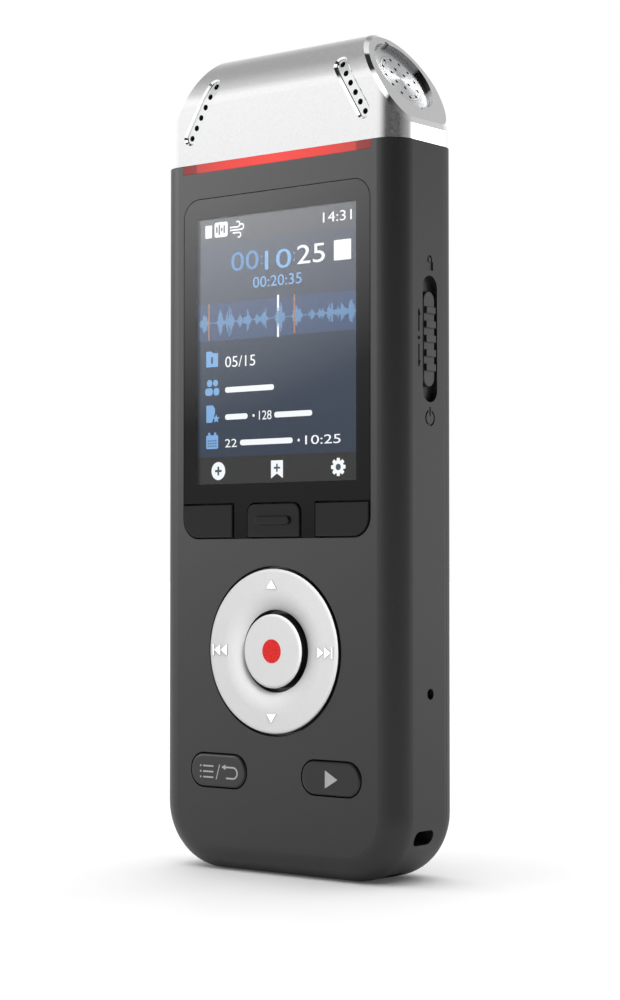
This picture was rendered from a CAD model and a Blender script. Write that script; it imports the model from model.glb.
from math import cos, hypot, pi, radians, sin

import bmesh
import bpy
from mathutils import Matrix, Vector


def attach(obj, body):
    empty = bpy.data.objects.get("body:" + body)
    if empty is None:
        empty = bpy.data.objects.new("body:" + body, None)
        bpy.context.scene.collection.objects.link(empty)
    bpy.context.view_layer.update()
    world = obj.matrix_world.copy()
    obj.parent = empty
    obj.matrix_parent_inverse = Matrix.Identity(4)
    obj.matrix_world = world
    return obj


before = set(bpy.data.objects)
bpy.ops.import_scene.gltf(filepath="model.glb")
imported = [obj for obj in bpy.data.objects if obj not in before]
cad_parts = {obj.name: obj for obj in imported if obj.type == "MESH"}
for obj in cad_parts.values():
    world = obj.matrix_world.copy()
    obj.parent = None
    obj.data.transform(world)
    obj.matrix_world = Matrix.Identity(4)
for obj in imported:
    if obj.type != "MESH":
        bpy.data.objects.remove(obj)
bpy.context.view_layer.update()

# Looks for a handheld voice recorder: dark soft-touch covers, a satin metal head, a colour display behind
# an acrylic lens, and keys. Sizes are in millimetres and are turned to metres by MM.
MM = 0.001
SHOULDER_TILT = radians(31.16)   # how far a head shoulder's outward normal points above the horizontal
SHOULDER_FOOT = (23.0, 111.12)   # where the shoulder's plane leaves the side
DISH_UP = 9.04                   # from that foot up the slope to the middle of the dish
DISC_SINK = 0.75                 # how far the spun disc lies under the shoulder
PANEL_Y = -7.15                  # front of the display panel
WINDOW = (58.68, 99.56, 15.5)    # lower edge, upper edge and half width of the lens's clear window
KEY_Y = -8.25                    # front of the two oval keys
SCREEN = (58.72, 99.52)          # lower and upper edge of the display's lit picture
LAYER = 0.012                    # thickness of one layer of display elements
INK = 0.015                      # thickness of the print on the keys
scene = bpy.context.scene


# ---------------------------------------------------------------- camera, room and lamps
def aim(thing, direction):
    """Turns a camera or lamp so that its own -Z looks along direction."""
    thing.rotation_mode = "QUATERNION"
    thing.rotation_quaternion = Vector(direction).to_track_quat("-Z", "Y")


camera_data = bpy.data.cameras.new("camera")
camera_data.lens = 80.57
camera_data.sensor_width = 36.0
camera = bpy.data.objects.new("camera", camera_data)
camera.location = Vector((213.41, -266.04, 45.67)) * MM
aim(camera, (-0.6245, 0.7804, 0.0310))
scene.collection.objects.link(camera)
scene.camera = camera
scene.view_settings.view_transform = "Standard"


def linear(code):
    """Linear colour of an sRGB hex code."""
    parts = [int(code[i:i + 2], 16) / 255 for i in (1, 3, 5)]
    return tuple(c / 12.92 if c <= 0.04045 else ((c + 0.055) / 1.055) ** 2.4 for c in parts) + (1.0,)


def add_node(tree, kind, inputs=None, **settings):
    """Adds a node to a tree, sets its options, and fills its inputs with values or links."""
    node = tree.nodes.new(kind)
    for key, value in settings.items():
        setattr(node, key, value)
    for key, value in (inputs or {}).items():
        if isinstance(value, bpy.types.Node):
            tree.links.new(value.outputs[0], node.inputs[key])
        elif isinstance(value, bpy.types.NodeSocket):
            tree.links.new(value, node.inputs[key])
        else:
            node.inputs[key].default_value = value
    return node


def set_ramp(node, stops, smooth="LINEAR"):
    """Gives a colour ramp its stops, each a position and a colour."""
    ramp = node.color_ramp
    ramp.interpolation = smooth
    while len(ramp.elements) < len(stops):
        ramp.elements.new(0.5)
    for element, (place, colour) in zip(ramp.elements, stops):
        element.position = place
        element.color = colour
    return node


def grey(level):
    return (level, level, level, 1.0)


def light_room():
    """A studio round the recorder: white walls, dimmer near the ceiling, and a dark opening at the front right.

    Seen directly it is plain white, so only reflections and shading show its parts.
    """
    world = bpy.data.worlds.new("studio")
    world.use_nodes = True
    scene.world = world
    tree = world.node_tree
    tree.nodes.clear()
    place = add_node(tree, "ShaderNodeTexCoord").outputs["Generated"]
    parts = add_node(tree, "ShaderNodeSeparateXYZ", {0: place})
    back = add_node(tree, "ShaderNodeMath", {0: parts.outputs["Y"], 1: -1.0}, operation="MULTIPLY")
    turn = add_node(tree, "ShaderNodeMath", {0: parts.outputs["X"], 1: back}, operation="ARCTAN2")
    round_room = add_node(tree, "ShaderNodeMapRange", {0: turn, 1: -pi, 2: pi})
    # 0.5 looks to the front, 0.75 to the right side
    walls = set_ramp(add_node(tree, "ShaderNodeValToRGB", {0: round_room}), [
        (0.0, grey(1.15)), (0.30, grey(1.35)), (0.42, grey(1.1)), (0.535, grey(0.04)),
        (0.67, grey(0.04)), (0.80, grey(0.35)), (0.90, grey(0.9)), (1.0, grey(1.15))], "EASE")
    heights = set_ramp(add_node(tree, "ShaderNodeValToRGB", {0: parts.outputs["Z"]}), [
        (0.0, grey(0.30)), (0.04, grey(0.42)), (0.20, grey(1.0)), (0.34, grey(1.0)), (0.55, grey(0.55)),
        (0.80, grey(0.28)), (0.93, grey(0.7)), (1.0, grey(0.8))], "EASE")
    room = add_node(tree, "ShaderNodeMix", {"Factor": 1.0, 6: walls, 7: heights}, data_type="RGBA",
                    blend_type="MULTIPLY")
    paths = add_node(tree, "ShaderNodeLightPath")
    shown = add_node(tree, "ShaderNodeMix", {"Factor": paths.outputs["Is Camera Ray"], 6: room.outputs[2],
                                             7: grey(1.0)}, data_type="RGBA")
    shade = add_node(tree, "ShaderNodeBackground", {"Color": shown.outputs[2], "Strength": 1.0})
    add_node(tree, "ShaderNodeOutputWorld", {"Surface": shade})


def add_lamp(name, place, target, size, radiance, lit=()):
    """A soft round glow at place, aimed at target, in millimetres. Its light fades evenly to its rim.

    Where lit names CAD nodes, it lights nothing else, as a lamp behind a flag does.
    """
    lamp_data = bpy.data.lights.new(name, "AREA")
    lamp_data.shape = "DISK"
    lamp_data.size = size * MM
    lamp_data.energy = radiance * pi * pi * (size * MM / 2) ** 2
    lamp_data.use_nodes = True
    tree = lamp_data.node_tree
    tree.nodes.clear()
    spread = add_node(tree, "ShaderNodeVectorMath", {
        0: add_node(tree, "ShaderNodeNewGeometry").outputs["Parametric"], 1: (0.5, 0.5, 0.0)},
        operation="SUBTRACT")
    flat = add_node(tree, "ShaderNodeVectorMath", {0: spread, 1: (1.0, 1.0, 0.0)}, operation="MULTIPLY")
    rim = add_node(tree, "ShaderNodeVectorMath", {0: flat}, operation="LENGTH").outputs["Value"]
    fade = add_node(tree, "ShaderNodeMapRange", {0: rim, 1: 0.0, 2: 0.5, 3: 1.0, 4: 0.0})
    shade = add_node(tree, "ShaderNodeEmission", {"Strength": fade})
    add_node(tree, "ShaderNodeOutputLight", {0: shade})
    lamp = bpy.data.objects.new(name, lamp_data)
    lamp.location = Vector(place) * MM
    aim(lamp, Vector(target) - Vector(place))
    scene.collection.objects.link(lamp)
    if lit:
        receivers = bpy.data.collections.new(name)
        for node_name in lit:
            receivers.objects.link(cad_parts[node_name])
        lamp.light_linking.receiver_collection = receivers


SOFTKEYS = ("softkey_left", "softkey_middle", "softkey_right")
DISCS = ("end_disc_right", "end_disc_left")
HEAD = ("head_cap",) + DISCS
light_room()
add_lamp("cover_lamp", (-320, -266, 210), (-25, -8, 95), 380, 6.5, ("front_cover", "menu_button"))
add_lamp("lens_lamp", (-285, -266, 240), (-25, -8, 95), 320, 4.8, ("display_lens",))
add_lamp("ring_lamp", (230, -150, 250), (0, -8, 33), 260, 44.0, ("nav_ring", "record_button", "record_dot"))
add_lamp("cover_side_lamp", (180, 230, 80), (23, 4, 60), 240, 1.6, ("front_cover", "rear_cover", "slider_knob"))
add_lamp("head_side_lamp", (330, 440, 150), (23, 0, 112), 300, 3.4, HEAD)
add_lamp("bevel_lamp", (267, -268, 467), (20, 0, 117), 360, 4.0, HEAD)
add_lamp("disc_lamp", (153, 390, 400), (20, 0, 117), 130, 13.0, DISCS)


# ---------------------------------------------------------------- finishes
finishes = {}


def new_finish(name):
    """An empty finish: its material, node tree, shader and object coordinates."""
    material = bpy.data.materials.new(name)
    material.use_nodes = True
    tree = material.node_tree
    tree.nodes.clear()
    shader = add_node(tree, "ShaderNodeBsdfPrincipled")
    add_node(tree, "ShaderNodeOutputMaterial", {"Surface": shader})
    place = add_node(tree, "ShaderNodeTexCoord").outputs["Object"]
    finishes[name] = material
    return material, tree, shader, place


def set_shader(shader, **values):
    """Sets values that are the same all over the surface; an underscore stands for a space."""
    for key, value in values.items():
        shader.inputs[key.replace("_", " ")].default_value = value


def surface(name, dark, light, grain, bump, rough, stretch=(1, 1, 1), detail=3.0, **values):
    """A finish whose colour, roughness and height all vary with one grain of the given size in mm.

    dark and light are the ends of its colour, bump is the grain's height in mm, rough is the range of its
    roughness, and stretch draws the grain out along an axis where it is below 1.
    """
    material, tree, shader, place = new_finish(name)
    drawn = add_node(tree, "ShaderNodeMapping", {0: place, "Scale": stretch})
    noise = add_node(tree, "ShaderNodeTexNoise", {"Vector": drawn, "Scale": 1 / (grain * MM), "Detail": detail})
    colour = set_ramp(add_node(tree, "ShaderNodeValToRGB", {0: noise}),
                      [(0.3, linear(dark)), (0.7, linear(light))])
    gloss = add_node(tree, "ShaderNodeMapRange", {0: noise, 1: 0.3, 2: 0.7, 3: rough[0], 4: rough[1]})
    height = add_node(tree, "ShaderNodeBump", {"Height": noise, "Distance": bump * MM, "Strength": 1.0})
    for key, source in (("Base Color", colour), ("Roughness", gloss), ("Normal", height)):
        tree.links.new(source.outputs[0], shader.inputs[key])
    set_shader(shader, **values)
    return material, tree, shader, place


# Soft-touch coated ABS: a velvety dark grey that spreads its highlights and shows a very fine matt grain.
surface("soft_touch_plastic", "#1a1a1b", "#202021", 0.22, 0.004, (0.40, 0.46), IOR=1.5)
# Plain moulded ABS of the rear shell: spark-eroded texture, slightly coarser and duller than the front.
surface("rear_plastic", "#18181a", "#202022", 0.35, 0.012, (0.46, 0.55), IOR=1.5)
# Moulded keys in polycarbonate: as dark as the cover, smoother, so their edges catch a thin line of light.
surface("key_plastic", "#1a1a1b", "#1f1f20", 0.25, 0.002, (0.36, 0.42), IOR=1.5)
# The three keys under the display are the same moulding with a duller coat, so they stay darker.
surface("softkey_plastic", "#161617", "#1a1a1b", 0.25, 0.002, (0.42, 0.48), IOR=1.5, Specular_IOR_Level=0.28)
# Needled felt: short dark fibres that swallow light behind the grilles.
surface("felt", "#111112", "#232324", 0.12, 0.05, (0.9, 1.0), detail=6.0)
# Rolled and stamped nickel-plated steel: straight rolling lines and a bright even grey.
surface("steel_sheet", "#8f9092", "#b4b5b6", 0.5, 0.002, (0.24, 0.34), stretch=(1, 1, 0.08), Metallic=1.0)
# Moulded black rubber: soft bloom and no clear reflections.
surface("black_rubber", "#141414", "#1f1f1f", 0.4, 0.01, (0.7, 0.85), IOR=1.5)
# Glass-filled black nylon: faint fibre streaks from the flow in the mould.
surface("black_nylon", "#131314", "#1e1e20", 0.3, 0.004, (0.38, 0.5), stretch=(1, 1, 0.4), IOR=1.53)
# White LED packages: glossy pale body of reflective resin.
surface("led_package", "#e3e0d2", "#f4f1e6", 0.3, 0.002, (0.3, 0.4), IOR=1.5)
# Glass-epoxy board with green solder mask: woven glass cloth shows as a fine mottle under a gloss.
surface("board_laminate", "#0b3d24", "#14522f", 0.5, 0.003, (0.22, 0.34), IOR=1.5)
# Acrylic adhesive tape: grey, slightly rubbery film.
surface("adhesive", "#3a3a3c", "#47474a", 0.6, 0.004, (0.5, 0.6), IOR=1.48)
# Backlight reflector film: brilliant white, faintly satin.
surface("white_film", "#e9ebec", "#f7f8f8", 0.8, 0.001, (0.35, 0.45), IOR=1.5)
# Closed-cell urethane foam: small pits.
surface("foam", "#1b1b1d", "#2c2c2f", 0.3, 0.06, (0.9, 1.0), detail=5.0)
# Polyimide film with copper tracks under it: amber, glossy and striped along its length.
surface("amber_film", "#8a4a12", "#c07a26", 0.5, 0.004, (0.2, 0.3), stretch=(1, 1, 0.05), IOR=1.6)
# Nickel-plated spring metal: bright with a soft pressed texture.
surface("nickel", "#b9b6ac", "#d3d0c6", 0.4, 0.002, (0.18, 0.28), Metallic=1.0)
# Translucent silicone rubber: milky, soft sheen.
surface("silicone", "#b9bcbe", "#ced1d2", 0.6, 0.004, (0.5, 0.62), IOR=1.41)
# Transfer-moulded epoxy of chip packages: sandy matt black.
surface("chip_resin", "#18181a", "#262628", 0.15, 0.008, (0.6, 0.72), IOR=1.55)
# Aluminium-laminate pouch of the cell: crinkled dull silver.
surface("cell_pouch", "#9a9c9e", "#b9bbbc", 2.2, 0.03, (0.3, 0.42), Metallic=0.9)
# PVC lead insulation: smooth, slightly waxy red.
surface("lead_insulation", "#8f1712", "#a8201a", 0.8, 0.002, (0.3, 0.42), IOR=1.52)
# Black-zinc plated steel screws: dark, lightly scuffed metal.
surface("screw_steel", "#3b3c3e", "#626365", 0.35, 0.004, (0.28, 0.42), Metallic=1.0)
# Dyed red polycarbonate of the record dot: clear saturated red with a smooth face.
surface("red_plastic", "#b50603", "#bb0804", 0.5, 0.001, (0.24, 0.3), IOR=1.58, Specular_IOR_Level=0.3)


def dark_sides(name):
    """Gives a front key's sides the black of the uncoated moulding; only its face took the grey coat."""
    tree = finishes[name].node_tree
    shader = next(n for n in tree.nodes if n.type == "BSDF_PRINCIPLED")
    facing = add_node(tree, "ShaderNodeSeparateXYZ",
                      {0: add_node(tree, "ShaderNodeNewGeometry").outputs["True Normal"]})
    side = add_node(tree, "ShaderNodeMapRange", {0: facing.outputs["Y"], 1: -0.55, 2: -0.30})
    coat = shader.inputs["Base Color"].links[0].from_socket
    colour = add_node(tree, "ShaderNodeMix", {"Factor": side, 6: coat, 7: linear("#020202")}, data_type="RGBA")
    tree.links.new(colour.outputs[2], shader.inputs["Base Color"])
    satin = shader.inputs["Roughness"].links[0].from_socket
    dull = add_node(tree, "ShaderNodeMix", {"Factor": side, 2: satin, 3: 0.9})
    tree.links.new(dull.outputs[0], shader.inputs["Roughness"])


# The two oval keys take the cover's own coat on their faces.
surface("oval_key_plastic", "#1a1a1b", "#1f1f20", 0.25, 0.002, (0.38, 0.44), IOR=1.5)
dark_sides("oval_key_plastic")
dark_sides("softkey_plastic")


def two_shot_cap(name, light, shade, mark_y):
    """A white satin cap moulded over a black skirt: only faces that look to the front are white.

    Whatever stands further forward than mark_y is a raised mark.
    """
    _, tree, shader, place = surface(name, shade, light, 0.2, 0.001, (0.3, 0.36), IOR=1.5)
    facing = add_node(tree, "ShaderNodeSeparateXYZ",
                      {0: add_node(tree, "ShaderNodeNewGeometry").outputs["True Normal"]})
    front = add_node(tree, "ShaderNodeMapRange", {0: facing.outputs["Y"], 1: -0.30, 2: -0.22, 3: 1.0, 4: 0.0})
    pale = shader.inputs["Base Color"].links[0].from_socket
    spot = add_node(tree, "ShaderNodeSeparateXYZ", {0: place})
    raised = add_node(tree, "ShaderNodeMath", {0: spot.outputs["Y"], 1: mark_y * MM}, operation="LESS_THAN")
    marked = add_node(tree, "ShaderNodeMix", {"Factor": raised, 6: pale, 7: linear("#ffffff")}, data_type="RGBA")
    colour = add_node(tree, "ShaderNodeMix", {"Factor": front, 6: linear("#0a0a0a"), 7: marked.outputs[2]},
                      data_type="RGBA")
    tree.links.new(colour.outputs[2], shader.inputs["Base Color"])


# Satin white polycarbonate of the four-way ring: an even pale grey face on a black moulded skirt. Its raised
# marks are polished whiter by use.
two_shot_cap("white_ring_plastic", "#b9b9b9", "#b4b4b4", -8.56)
# The record key is the same pair of mouldings, its face a touch whiter.
two_shot_cap("record_plastic", "#b9b9b9", "#b5b5b5", -9.0)


def head_metal():
    """Bead-blasted, clear-anodised aluminium with diamond-cut edges.

    The blasting gives a fine even sparkle on the wide faces. The cut bevels, dish walls and slot mouths are
    left bright, so they mirror the room in hard white and black.
    """
    _, tree, shader, place = surface("satin_aluminium", "#ebebec", "#f3f3f4", 0.28, 0.0012, (0.21, 0.26),
                                     Metallic=1.0)
    spot = add_node(tree, "ShaderNodeSeparateXYZ", {0: place})
    facing = add_node(tree, "ShaderNodeSeparateXYZ",
                      {0: add_node(tree, "ShaderNodeNewGeometry").outputs["True Normal"]})

    def calc(operation, first, second=0.0):
        return add_node(tree, "ShaderNodeMath", {0: first, 1: second}, operation=operation)

    def slope_part(parts, offset):
        """How far a place or normal reaches along the shoulder's outward normal, the same on both ends."""
        out = calc("MULTIPLY", calc("ABSOLUTE", parts.outputs["X"]), cos(SHOULDER_TILT))
        up = calc("MULTIPLY", parts.outputs["Z"], sin(SHOULDER_TILT))
        return calc("SUBTRACT", calc("ADD", out, up), offset)

    plane_at = (SHOULDER_FOOT[0] * cos(SHOULDER_TILT) + SHOULDER_FOOT[1] * sin(SHOULDER_TILT)) * MM
    under_face = slope_part(spot, plane_at)
    lean = slope_part(facing, 0.0)
    near_face = calc("GREATER_THAN", under_face, -0.53 * MM)
    bevel = calc("MULTIPLY", near_face, calc("LESS_THAN", lean, 0.985))
    bevel = calc("MULTIPLY", bevel, calc("GREATER_THAN", lean, 0.60))
    bevel = calc("MULTIPLY", bevel, calc("GREATER_THAN", facing.outputs["Z"], 0.15))
    wall = calc("MULTIPLY", calc("GREATER_THAN", under_face, -1.4 * MM),
                calc("LESS_THAN", calc("ABSOLUTE", spot.outputs["Y"]), 6.3 * MM))
    wall = calc("MULTIPLY", wall, calc("LESS_THAN", calc("ABSOLUTE", lean), 0.2))
    mouth = calc("MULTIPLY", calc("LESS_THAN", calc("ABSOLUTE", spot.outputs["X"]), 19.1 * MM),
                 calc("GREATER_THAN", calc("ABSOLUTE", facing.outputs["X"]), 0.2))
    mouth = calc("MULTIPLY", mouth, calc("LESS_THAN", spot.outputs["Y"], -5.2 * MM))
    cut = calc("MAXIMUM", calc("MAXIMUM", bevel, wall), mouth)
    satin = shader.inputs["Roughness"].links[0].from_socket
    gloss = add_node(tree, "ShaderNodeMix", {"Factor": cut, 2: satin, 3: 0.07})
    tree.links.new(gloss.outputs[0], shader.inputs["Roughness"])
    bare = shader.inputs["Base Color"].links[0].from_socket
    painted = add_node(tree, "ShaderNodeMix", {"Factor": wall, 6: bare, 7: linear("#707071")}, data_type="RGBA")
    tree.links.new(painted.outputs[2], shader.inputs["Base Color"])
    blasted = next(n for n in tree.nodes if n.type == "BUMP")
    blast = calc("SUBTRACT", 1.0, cut)
    tree.links.new(blast.outputs[0], blasted.inputs["Strength"])


def spun_metal():
    """Turned stainless steel: rings left by the tool smear every light into two bright cones."""
    _, tree, shader, place = new_finish("spun_steel")
    spot = add_node(tree, "ShaderNodeSeparateXYZ", {0: place})
    side = add_node(tree, "ShaderNodeMath", {0: spot.outputs["X"]}, operation="SIGN")
    mirrored = add_node(tree, "ShaderNodeCombineXYZ", {
        0: add_node(tree, "ShaderNodeMath", {0: spot.outputs["X"]}, operation="ABSOLUTE"),
        1: spot.outputs["Y"], 2: spot.outputs["Z"]})
    outward = Vector((cos(SHOULDER_TILT), 0, sin(SHOULDER_TILT)))
    up_slope = Vector((-sin(SHOULDER_TILT), 0, cos(SHOULDER_TILT)))
    middle = Vector((SHOULDER_FOOT[0], 0, SHOULDER_FOOT[1])) + up_slope * DISH_UP - outward * DISC_SINK
    from_middle = add_node(tree, "ShaderNodeVectorMath", {0: mirrored, 1: middle * MM}, operation="SUBTRACT")
    round_axis = add_node(tree, "ShaderNodeVectorMath", {0: tuple(outward), 1: from_middle},
                          operation="CROSS_PRODUCT")
    lay = add_node(tree, "ShaderNodeVectorMath", {
        0: round_axis, 1: add_node(tree, "ShaderNodeCombineXYZ", {0: side, 1: 1.0, 2: 1.0})},
        operation="MULTIPLY")
    radius = add_node(tree, "ShaderNodeVectorMath", {0: round_axis}, operation="LENGTH").outputs["Value"]
    # real turning marks are about 0.05 mm apart; 0.25 mm lets them show at arm's length
    lines = add_node(tree, "ShaderNodeTexNoise", {"W": radius, "Scale": 1 / (0.25 * MM), "Detail": 2.0},
                     noise_dimensions="1D")
    colour = set_ramp(add_node(tree, "ShaderNodeValToRGB", {0: lines}),
                      [(0.3, linear("#c2c3c4")), (0.7, linear("#f2f3f4"))])
    gloss = add_node(tree, "ShaderNodeMapRange", {0: lines, 1: 0.3, 2: 0.7, 3: 0.16, 4: 0.24})
    height = add_node(tree, "ShaderNodeBump", {"Height": lines, "Distance": 0.0015 * MM})
    for key, source in (("Base Color", colour), ("Roughness", gloss), ("Normal", height), ("Tangent", lay)):
        tree.links.new(source.outputs[0], shader.inputs[key])
    set_shader(shader, Metallic=1.0, Anisotropic=0.8)


head_metal()
spun_metal()
# Bright-plated strips under the microphone slots: smooth, near-white reflections.
surface("chrome_trim", "#e9eaea", "#f3f4f4", 0.3, 0.001, (0.22, 0.28), Metallic=1.0)


def lens_plastic():
    """Hard-coated cast acrylic: clear and glossy, its coat faintly smeared by wiping.

    Black ink covers its back round the window and its cut edges, so only the window lets light through.
    """
    _, tree, shader, place = new_finish("lens_acrylic")
    smear = add_node(tree, "ShaderNodeTexNoise", {"Vector": place, "Scale": 1 / (9 * MM), "Detail": 4.0})
    gloss = add_node(tree, "ShaderNodeMapRange", {0: smear, 3: 0.0, 4: 0.008})
    tree.links.new(gloss.outputs[0], shader.inputs["Roughness"])
    spot = add_node(tree, "ShaderNodeSeparateXYZ", {0: place})
    facing = add_node(tree, "ShaderNodeSeparateXYZ",
                      {0: add_node(tree, "ShaderNodeNewGeometry").outputs["True Normal"]})

    def far_from(source, middle, limit):
        """0 within limit of middle, 1 further away, both in mm."""
        gap = add_node(tree, "ShaderNodeMath", {0: source, 1: middle * MM}, operation="SUBTRACT")
        size = add_node(tree, "ShaderNodeMath", {0: gap}, operation="ABSOLUTE")
        return add_node(tree, "ShaderNodeMath", {0: size, 1: limit * MM}, operation="GREATER_THAN")

    beside = far_from(spot.outputs["X"], 0.0, WINDOW[2])
    above = far_from(spot.outputs["Z"], (WINDOW[0] + WINDOW[1]) / 2, (WINDOW[1] - WINDOW[0]) / 2)
    flat = add_node(tree, "ShaderNodeMath", {0: facing.outputs["Y"]}, operation="ABSOLUTE")
    wall = add_node(tree, "ShaderNodeMath", {0: flat, 1: 0.7}, operation="LESS_THAN")
    inked = add_node(tree, "ShaderNodeMath", {0: beside, 1: above}, operation="MAXIMUM")
    inked = add_node(tree, "ShaderNodeMath", {0: inked, 1: wall}, operation="MAXIMUM")
    clear = add_node(tree, "ShaderNodeMix", {"Factor": inked, 6: linear("#fbfcfc"), 7: linear("#040404")},
                     data_type="RGBA")
    tree.links.new(clear.outputs[2], shader.inputs["Base Color"])
    set_shader(shader, IOR=1.49, Transmission_Weight=1.0)


def glowing(name, colour, strength):
    """A lit part of the display: its own light over a dark layer with a faint cell grain."""
    _, tree, shader, place = new_finish(name)
    cells = add_node(tree, "ShaderNodeTexNoise", {"Vector": place, "Scale": 1 / (0.3 * MM), "Detail": 1.0})
    shown = set_ramp(add_node(tree, "ShaderNodeValToRGB", {0: cells}),
                     [(0.2, tuple(c * 0.97 for c in linear(colour)[:3]) + (1.0,)), (0.8, linear(colour))])
    tree.links.new(shown.outputs[0], shader.inputs["Emission Color"])
    set_shader(shader, Base_Color=linear("#030303"), Roughness=0.4, Emission_Strength=strength,
               Specular_IOR_Level=0.0)
    return tree, shader, place


def display_glow():
    """Liquid crystal display, lit from behind: a slate page between a grey header and footer."""
    tree, shader, place = glowing("lcd_panel", "#5a6373", 0.56)
    spot = add_node(tree, "ShaderNodeSeparateXYZ", {0: place})
    upward = add_node(tree, "ShaderNodeMapRange", {0: spot.outputs["Z"], 1: SCREEN[0] * MM, 2: SCREEN[1] * MM})

    def level(z):
        return (z - SCREEN[0]) / (SCREEN[1] - SCREEN[0])

    edges = [(SCREEN[0], "#343434"), (62.79, "#384a64"), (80.65, "#4c6694"), (86.40, "#4c5870"),
             (95.74, "#565c64")]
    page = set_ramp(add_node(tree, "ShaderNodeValToRGB", {0: upward}),
                    [(level(z), linear(code)) for z, code in edges], "CONSTANT")
    tint = set_ramp(add_node(tree, "ShaderNodeValToRGB", {0: upward}),
                    [(0.0, grey(0.9)), (0.12, grey(0.92)), (1.0, grey(1.15))])
    shown = add_node(tree, "ShaderNodeMix", {"Factor": 1.0, 6: page, 7: tint}, data_type="RGBA",
                     blend_type="MULTIPLY")
    tree.links.new(shown.outputs[2], shader.inputs["Emission Color"])


def light_bar():
    """Frosted red polycarbonate light bar, lit from behind through a prism pattern; its ends stay dim."""
    _, tree, shader, place = new_finish("status_red")
    spot = add_node(tree, "ShaderNodeSeparateXYZ", {0: place})
    out = add_node(tree, "ShaderNodeMath", {0: spot.outputs["X"]}, operation="ABSOLUTE")
    along = add_node(tree, "ShaderNodeMapRange", {0: out, 1: 0.0, 2: 18.25 * MM})
    lit = set_ramp(add_node(tree, "ShaderNodeValToRGB", {0: along}), [
        (0.0, linear("#ff463c")), (0.55, linear("#f03e36")), (0.84, linear("#c9443c")),
        (0.86, linear("#8c2f2b")), (1.0, linear("#7d2724"))])
    prisms = add_node(tree, "ShaderNodeTexWave", {"Vector": place, "Scale": 1 / (0.9 * MM), "Distortion": 0.6,
                                                  "Detail": 1.0}, bands_direction="X")
    frost = add_node(tree, "ShaderNodeTexNoise", {"Vector": place, "Scale": 1 / (0.25 * MM), "Detail": 2.0})
    ribs = add_node(tree, "ShaderNodeMath", {0: prisms.outputs["Fac"], 1: 0.10}, operation="MULTIPLY")
    grain = add_node(tree, "ShaderNodeMath", {0: frost, 1: 0.3}, operation="MULTIPLY")
    pattern = add_node(tree, "ShaderNodeMath", {0: ribs, 1: grain}, operation="ADD")
    strength = add_node(tree, "ShaderNodeMath", {0: pattern, 1: 0.8}, operation="ADD")
    shown = add_node(tree, "ShaderNodeVectorMath", {0: lit, "Scale": strength}, operation="SCALE")
    height = add_node(tree, "ShaderNodeBump", {"Height": pattern, "Distance": 0.01 * MM})
    tree.links.new(shown.outputs[0], shader.inputs["Emission Color"])
    tree.links.new(height.outputs[0], shader.inputs["Normal"])
    set_shader(shader, Base_Color=linear("#5a100d"), Roughness=0.3, IOR=1.58, Emission_Strength=0.86)


lens_plastic()
display_glow()
light_bar()
# Display picture elements, each in the colour of its lit cells.
glowing("lit_white", "#f7fafc", 1.1)
glowing("lit_sky", "#86bdf5", 0.9)
glowing("lit_blue", "#5f9fe0", 0.8)
glowing("lit_wave", "#6f9fd0", 0.8)
glowing("lit_amber", "#c98a5c", 0.75)
glowing("unlit_slate", "#4c5766", 0.75)
# Pad-printed pale grey marks on the keys: thin matt paint with a slightly uneven film.
surface("pad_print", "#c2c2c2", "#cecece", 0.15, 0.001, (0.5, 0.6), IOR=1.5)
# Painted studio floor: matt white, with a touch of its own light so that it meets the white walls.
floor_paint, floor_tree, floor_shader, _ = surface("floor_paint", "#f1f1f1", "#f6f6f6", 40, 0.02, (0.6, 0.7))
set_shader(floor_shader, Emission_Color=grey(1.0), Emission_Strength=0.05, Specular_IOR_Level=0.1)

for node_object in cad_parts.values():
    for place in node_object.material_slots:
        place.material = finishes[place.material.name.split(".")[0]]
for name in SOFTKEYS:
    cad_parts[name].material_slots[0].material = finishes["softkey_plastic"]
for name in ("menu_button", "play_button"):
    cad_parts[name].material_slots[0].material = finishes["oval_key_plastic"]

# ---------------------------------------------------------------- floor
floor_mesh = bpy.data.meshes.new("floor")
reach = 6000 * MM
floor_mesh.from_pydata([(-reach, -reach, 0), (reach, -reach, 0), (reach, reach, 0), (-reach, reach, 0)], [],
                       [(0, 1, 2, 3)])
floor = bpy.data.objects.new("floor", floor_mesh)
floor_mesh.materials.append(floor_paint)
scene.collection.objects.link(floor)

# a wide soft lamp overhead that lights only the floor, so that it meets the white walls
sun_data = bpy.data.lights.new("floor_lamp", "SUN")
sun_data.energy = 2.45
sun_data.angle = radians(95)
sun = bpy.data.objects.new("floor_lamp", sun_data)
scene.collection.objects.link(sun)
lit_floor = bpy.data.collections.new("lit_floor")
lit_floor.objects.link(floor)
sun.light_linking.receiver_collection = lit_floor


# ---------------------------------------------------------------- flat shapes, each a list of (x, z) loops
def circle(x, z, r, count=28, start=0.0, turn=2 * pi):
    """Points round a circle, or round part of one."""
    steps = count if turn == 2 * pi else count + 1
    return [(x + r * cos(start + turn * i / count), z + r * sin(start + turn * i / count)) for i in range(steps)]


def rectangle(x0, z0, x1, z1, r=0.0):
    """Loop of a rectangle, its corners rounded by r."""
    if not r:
        return [(x0, z0), (x1, z0), (x1, z1), (x0, z1)]
    loop = []
    corners = ((x1 - r, z1 - r, 0), (x0 + r, z1 - r, pi / 2), (x0 + r, z0 + r, pi), (x1 - r, z0 + r, 1.5 * pi))
    for x, z, start in corners:
        loop += circle(x, z, r, 5, start, pi / 2)
    return loop


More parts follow.
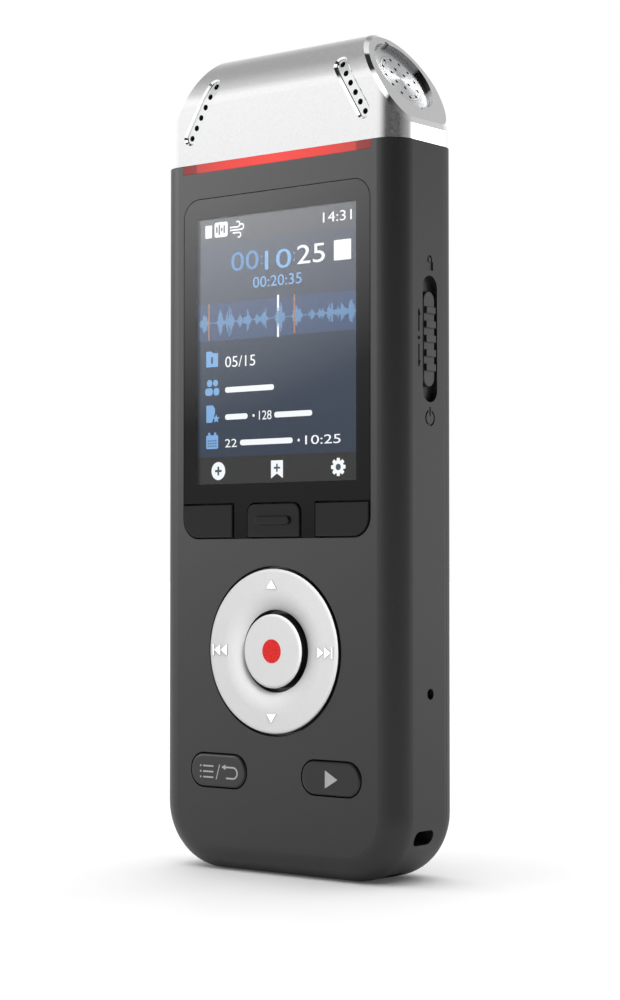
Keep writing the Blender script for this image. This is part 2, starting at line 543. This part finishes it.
def stroke(points, thickness):
    """Loop of a line of even thickness along points."""
    left, right = [], []
    for i, (x, z) in enumerate(points):
        before, after = points[max(i - 1, 0)], points[min(i + 1, len(points) - 1)]
        dx, dz = after[0] - before[0], after[1] - before[1]
        size = hypot(dx, dz) or 1.0
        nx, nz = -dz / size * thickness / 2, dx / size * thickness / 2
        left.append((x + nx, z + nz))
        right.append((x - nx, z - nz))
    return left + right[::-1]


def star(x, z, r_out, r_in, points=5):
    """Loop of a star."""
    return [(x + (r_out, r_in)[i % 2] * cos(pi / 2 + pi * i / points),
             z + (r_out, r_in)[i % 2] * sin(pi / 2 + pi * i / points)) for i in range(2 * points)]


def gear(x, z, r, teeth=8):
    """Loop of a cog wheel."""
    loop = []
    for i in range(teeth):
        middle = 2 * pi * i / teeth
        for turn, reach_out in ((-0.30, 0.74), (-0.20, 1.0), (0.20, 1.0), (0.30, 0.74)):
            loop.append((x + r * reach_out * cos(middle + turn), z + r * reach_out * sin(middle + turn)))
    return loop


def plate(name, loops, front_y, thickness, finish, body, numbers=()):
    """Thin plates that stand on a surface facing the front, made of loops and of fitted numbers.

    Each number is its text and the box (x0, z0, x1, z1) that it fills.
    """
    mesh = bpy.data.meshes.new(name)
    build = bmesh.new()
    for loop in loops:
        near = [build.verts.new((x * MM, front_y * MM, z * MM)) for x, z in loop]
        far = [build.verts.new((x * MM, (front_y + thickness) * MM, z * MM)) for x, z in loop]
        build.faces.new(near)
        build.faces.new(far[::-1])
        for i in range(len(loop)):
            j = (i + 1) % len(loop)
            build.faces.new((near[j], near[i], far[i], far[j]))
    for text, area in numbers:
        curve = bpy.data.curves.new("number", "FONT")
        curve.body = text
        curve.extrude = 0.5
        curve.resolution_u = 4
        writing = bpy.data.objects.new("number", curve)
        scene.collection.objects.link(writing)
        bpy.context.view_layer.update()
        flat = bpy.data.meshes.new_from_object(writing.evaluated_get(bpy.context.evaluated_depsgraph_get()))
        xs = [v.co.x for v in flat.vertices]
        ys = [v.co.y for v in flat.vertices]
        for v in flat.vertices:
            across = (v.co.x - min(xs)) / (max(xs) - min(xs))
            up = (v.co.y - min(ys)) / (max(ys) - min(ys))
            deep = 0.0 if v.co.z > 0 else thickness
            v.co = Vector((area[0] + across * (area[2] - area[0]), front_y + deep,
                           area[1] + up * (area[3] - area[1]))) * MM
        build.from_mesh(flat)
        bpy.data.objects.remove(writing)
        bpy.data.meshes.remove(flat)
    bmesh.ops.remove_doubles(build, verts=build.verts, dist=1e-7)
    bmesh.ops.triangulate(build, faces=build.faces)
    bmesh.ops.recalc_face_normals(build, faces=build.faces)
    build.to_mesh(mesh)
    build.free()
    mesh.materials.append(finishes[finish])
    piece = bpy.data.objects.new(name, mesh)
    scene.collection.objects.link(piece)
    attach(piece, body)
    return piece


# ---------------------------------------------------------------- display picture
def wave_tree():
    """Geometry Nodes tree: a row of bars whose heights follow a burst pattern, like a recorded voice."""
    tree = bpy.data.node_groups.new("voice_wave", "GeometryNodeTree")
    tree.interface.new_socket("Geometry", in_out="OUTPUT", socket_type="NodeSocketGeometry")
    for name, default in (("Length", 31.0 * MM), ("Tallest", 4.6 * MM), ("Bar Width", 0.17 * MM), ("Seed", 3.7)):
        tree.interface.new_socket(name, in_out="INPUT", socket_type="NodeSocketFloat").default_value = default
    tree.interface.new_socket("Count", in_out="INPUT", socket_type="NodeSocketInt").default_value = 170
    tree.interface.new_socket("Material", in_out="INPUT", socket_type="NodeSocketMaterial")
    given = add_node(tree, "NodeGroupInput").outputs

    def calc(operation, first, second=0.0):
        return add_node(tree, "ShaderNodeMath", {0: first, 1: second}, operation=operation)

    half = calc("MULTIPLY", given["Length"], -0.5)
    step = calc("DIVIDE", given["Length"], given["Count"])
    row = add_node(tree, "GeometryNodeMeshLine", {
        "Count": given["Count"], "Start Location": add_node(tree, "ShaderNodeCombineXYZ", {0: half}),
        "Offset": add_node(tree, "ShaderNodeCombineXYZ", {0: step})})
    index = add_node(tree, "GeometryNodeInputIndex")
    bursts = add_node(tree, "ShaderNodeTexNoise", {"W": calc("ADD", calc("MULTIPLY", index, 0.11), given["Seed"]),
                                                   "Scale": 1.0, "Detail": 0.0}, noise_dimensions="1D")
    spikes = add_node(tree, "ShaderNodeTexNoise", {"W": calc("ADD", calc("MULTIPLY", index, 1.9), given["Seed"]),
                                                   "Scale": 1.0, "Detail": 1.0}, noise_dimensions="1D")
    swell = add_node(tree, "ShaderNodeMapRange", {0: bursts, 1: 0.36, 2: 0.72, 3: 0.03, 4: 1.0},
                     interpolation_type="SMOOTHSTEP")
    sharp = add_node(tree, "ShaderNodeMapRange", {0: spikes, 1: 0.3, 2: 0.7, 3: 0.25, 4: 1.0})
    tall = calc("MULTIPLY", calc("MULTIPLY", swell, sharp), given["Tallest"])
    bar = add_node(tree, "GeometryNodeMeshCube", {"Size": (1.0, 1.0, 1.0)})
    size = add_node(tree, "ShaderNodeCombineXYZ", {0: given["Bar Width"], 1: 0.012 * MM,
                                                   2: calc("MAXIMUM", tall, 0.12 * MM)})
    bars = add_node(tree, "GeometryNodeInstanceOnPoints", {"Points": row, "Instance": bar, "Scale": size})
    real = add_node(tree, "GeometryNodeRealizeInstances", {0: bars})
    painted = add_node(tree, "GeometryNodeSetMaterial", {0: real, "Material": given["Material"]})
    add_node(tree, "NodeGroupOutput", {0: painted})
    return tree


def voice_wave():
    """The recorded voice as a row of bars across the display."""
    holder = bpy.data.objects.new("holder", bpy.data.meshes.new("holder"))
    scene.collection.objects.link(holder)
    tree = wave_tree()
    modifier = holder.modifiers.new("bars", "NODES")
    modifier.node_group = tree
    for item in tree.interface.items_tree:
        if item.in_out == "INPUT" and item.name == "Material":
            modifier[item.identifier] = finishes["lit_wave"]
    bpy.context.view_layer.update()
    mesh = bpy.data.meshes.new_from_object(holder.evaluated_get(bpy.context.evaluated_depsgraph_get()))
    bpy.data.objects.remove(holder)
    mesh.transform(Matrix.Translation(Vector((0, PANEL_Y - 0.010, 83.5)) * MM))
    piece = bpy.data.objects.new("voice_wave", mesh)
    scene.collection.objects.link(piece)
    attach(piece, "housing")


def curl(x, z, length, r, side):
    """Line of one breath of wind: a straight run that ends in a hook up (side 1) or down (side -1)."""
    start = -side * pi / 2
    return [(x, z), (x + length * 0.6, z)] + circle(x + length, z + side * r, r, 9, start, side * 1.25 * pi)


screen_white = [
    rectangle(-14.15, 96.66, -12.80, 98.62, 0.12), rectangle(-12.28, 96.64, -9.63, 98.95, 0.35),
    stroke(curl(-9.15, 97.92, 1.55, 0.42, 1), 0.24), stroke(curl(-9.15, 97.48, 2.3, 0.42, 1), 0.24),
    stroke(curl(-8.6, 97.04, 1.25, 0.36, -1), 0.24),
    rectangle(11.02, 91.11, 14.22, 94.12, 0.12), rectangle(0.18, 80.55, 0.56, 86.9),
    rectangle(-10.11, 72.65, -0.42, 73.5, 0.4), rectangle(-0.35, 68.45, 6.92, 69.3, 0.4),
    rectangle(-10.1, 68.5, -5.6, 69.35, 0.4), rectangle(-7.1, 64.5, 3.2, 65.35, 0.4),
    circle(-4.42, 68.95, 0.22, 12), circle(4.35, 64.9, 0.22, 12), circle(-11.45, 60.72, 1.38, 36),
    [(-0.98, 59.32), (0.17, 60.05), (1.32, 59.32), (1.32, 62.02), (-0.98, 62.02)],
    gear(11.82, 60.69, 1.36),
]
screen_numbers = [
    ("14:31", (8.95, 96.92, 14.35, 98.45)), ("25", (4.05, 91.15, 9.32, 94.0)),
    ("05/15", (-10.1, 76.53, -4.1, 78.2)), ("128", (-3.35, 68.25, -0.9, 69.62)),
    ("22", (-10.1, 64.3, -7.75, 65.55)), ("10:25", (5.6, 64.2, 12.25, 65.55)),
]
folder = [(-13.94, 76.74), (-11.55, 76.74), (-11.55, 78.85), (-12.6, 78.85), (-12.85, 79.15), (-13.94, 79.15)]
leaf = [(-13.9, 68.2), (-12.75, 68.2), (-12.35, 69.1), (-12.15, 69.7), (-12.15, 70.3), (-12.6, 70.85),
        (-13.9, 70.85)]
screen_sky = [
    folder, circle(-13.25, 74.25, 0.55, 20), circle(-12.05, 74.25, 0.5, 20),
    rectangle(-14.15, 72.35, -12.62, 73.5, 0.45), rectangle(-12.42, 72.35, -11.3, 73.5, 0.45), leaf,
    star(-11.9, 68.75, 0.72, 0.32), rectangle(-13.92, 64.15, -11.5, 66.25, 0.25),
    rectangle(-13.5, 66.1, -13.1, 66.65), rectangle(-12.3, 66.1, -11.9, 66.65),
]
calendar_days = [rectangle(-13.6 + 0.5 * i, 64.45 + 0.42 * j, -13.35 + 0.5 * i, 64.67 + 0.42 * j)
                 for i in range(4) for j in range(3)]
screen_slate = calendar_days + [
    rectangle(-12.95, 77.25, -12.55, 78.3, 0.15), rectangle(-11.95, 97.35, -11.65, 98.25, 0.1),
    rectangle(-11.45, 97.0, -11.15, 98.6, 0.1), rectangle(-10.95, 97.5, -10.65, 98.1, 0.1),
    rectangle(-10.45, 97.2, -10.15, 98.4, 0.1), rectangle(-11.62, 60.05, -11.28, 61.39),
    rectangle(-12.12, 60.55, -10.78, 60.89), rectangle(0.02, 60.3, 0.32, 61.5), rectangle(-0.43, 60.75, 0.77, 61.05),
    circle(11.82, 60.69, 0.48, 20),
]
# name, loops, numbers, finish, and how many layers stand out of the panel
housing_plates = (
    ("screen_white", screen_white, screen_numbers, "lit_white", 1),
    ("screen_sky", screen_sky, [("10", (-2.2, 90.85, 2.9, 93.75)), ("00:20:35", (-4.55, 88.3, 4.9, 89.95))],
     "lit_sky", 1),
    ("screen_blue", [circle(x, z, 0.17, 12) for x in (-2.85, 3.48) for z in (91.9, 92.95)],
     [("00", (-8.9, 91.15, -3.45, 94.05))], "lit_blue", 1),
    ("screen_amber", [rectangle(-13.53, 80.9, -13.27, 86.5), rectangle(3.4, 80.9, 3.66, 86.7)], (),
     "lit_amber", 1.6),
    ("screen_slate", screen_slate, (), "unlit_slate", 2),
)
for name, loops, numbers, finish, layer in housing_plates:
    plate(name, loops, PANEL_Y - layer * LAYER, LAYER * layer, finish, "housing", numbers)
voice_wave()


# ---------------------------------------------------------------- marks printed on the keys
return_line = [(-9.35, 15.68), (-7.8, 15.68)] + circle(-7.8, 14.85, 0.83, 12, pi / 2, -pi) + [(-9.16, 14.02)]
menu_marks = [stroke([(-13.8, z), (-11.73, z)], 0.24) for z in (15.73, 14.88, 14.03)]
menu_marks += [circle(-14.3, z, 0.16, 10) for z in (15.73, 14.88, 14.03)]
menu_marks += [stroke([(-10.46, 16.02), (-11.16, 13.76)], 0.16), stroke(return_line, 0.25),
               [(-10.08, 15.68), (-9.29, 16.09), (-9.29, 15.27)]]
play_marks = [[(9.91, 16.3), (9.91, 13.65), (12.22, 15.0)]]
plate("menu_marks", menu_marks, KEY_Y - INK, INK + 0.005, "pad_print", "menu_key")
plate("play_marks", play_marks, KEY_Y - INK, INK + 0.005, "pad_print", "play_key")
